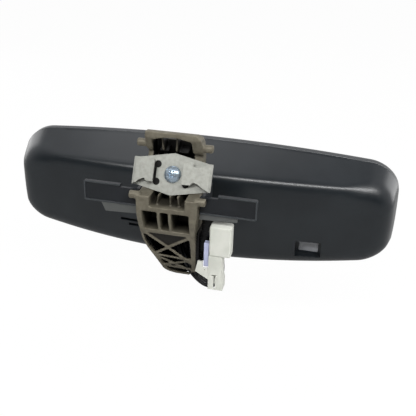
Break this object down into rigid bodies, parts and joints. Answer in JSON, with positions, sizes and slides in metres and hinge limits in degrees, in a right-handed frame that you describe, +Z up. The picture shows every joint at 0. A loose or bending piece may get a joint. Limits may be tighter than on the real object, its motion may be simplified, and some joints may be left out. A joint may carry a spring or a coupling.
{
  "type": "interior rearview mirror",
  "caption": "Interior rearview mirror: black moulded head on a hollow ball joint, ribbed cast foot with a sheet spring clip, trim carrier bar and side connector.",
  "frame": {"origin": "where the axis of the clip screw meets the foot's seat plane, under the spring clip", "axes": "+X along the head, to the right seen from the windscreen side; +Y into the car, out of the glass; +Z up"},
  "size_m": [0.248, 0.0916, 0.1026],
  "materials": {
    "die_casting": "as-cast zinc-aluminium die casting, olive-grey chromate, satin",
    "galvanised_steel": "galvanised stamped spring steel, matt",
    "zinc_plated_steel": "bright blue-passivated zinc plate",
    "polished_steel": "ground ball, turned stem",
    "spring_steel": "pressed spring steel",
    "carrier_plastic": "moulded black polyamide, fine matt",
    "bracket_plastic": "moulded black",
    "connector_plastic": "natural white PBT, satin",
    "lock_plastic": "pale lavender PBT, satin",
    "contact_brass": "stamped and plated",
    "harness_tape": "black PVC harness tape and wires",
    "acetal": "moulded natural acetal",
    "die_casting_dark": "zinc die casting, dark",
    "housing_plastic": "moulded black ABS, fine spark-eroded grain",
    "front_glass": "polished float glass",
    "mirror_glass": "float glass, silvered on its front face",
    "seal_rubber": "epoxy edge seal",
    "foam_pad": "foam adhesive pad",
    "board_laminate": "green solder mask",
    "component_plastic": "moulded black epoxy",
    "sensor_clear": "clear moulded acrylic",
    "window_plastic": "translucent pale grey polycarbonate"
  },
  "bodies": {
    "foot": {"mount_foot": "die_casting", "spring_clip": "galvanised_steel", "clip_screw": "zinc_plated_steel", "trim_carrier": "carrier_plastic", "ball_stud": "polished_steel", "connector_bracket": "bracket_plastic", "bracket_screw": "zinc_plated_steel", "connector_shell": "connector_plastic", "connector_shroud": "connector_plastic", "terminal_pins": "contact_brass", "connector_clip": "connector_plastic", "wire_cover": "bracket_plastic", "harness_foot": "harness_tape"},
    "terminal_lock": {"terminal_lock": "lock_plastic"},
    "ball_seat": {"ball_seat": "acetal"},
    "tension_cup": {"tension_cup": "spring_steel"},
    "head": {"ball_socket": "die_casting_dark", "socket_retainer": "die_casting_dark", "socket_screws": "zinc_plated_steel", "mirror_frame": "carrier_plastic", "rear_housing": "housing_plastic", "front_bezel": "housing_plastic", "front_glass": "front_glass", "rear_glass": "mirror_glass", "cell_seal": "seal_rubber", "bus_clips": "contact_brass", "backing_pad": "foam_pad", "glass_carrier": "carrier_plastic", "carrier_screws": "zinc_plated_steel", "circuit_board": "board_laminate", "board_parts": "component_plastic", "glare_sensor": "sensor_clear", "ambient_sensor": "component_plastic", "light_pipe": "sensor_clear", "sensor_window": "window_plastic", "board_header": "connector_plastic", "harness_plug": "connector_plastic", "harness_head": "harness_tape"}
  },
  "joints": [
    {"name": "head_swivel", "type": "hinge", "parent": "foot", "child": "ball_seat", "pos_m": [0, 0.052, -0.042], "axis": [0, 0, 1], "range_deg": [-18, 18]},
    {"name": "head_tilt", "type": "hinge", "parent": "ball_seat", "child": "tension_cup", "pos_m": [0, 0.052, -0.042], "axis": [1, 0, 0], "range_deg": [-12, 12]},
    {"name": "head_roll", "type": "hinge", "parent": "tension_cup", "child": "head", "pos_m": [0, 0.052, -0.042], "axis": [0, 1, 0], "range_deg": [-8, 8]},
    {"name": "lock_slide", "type": "slide", "parent": "foot", "child": "terminal_lock", "axis": [-1, 0, 0], "range_m": [0, 0.0014]}
  ]
}
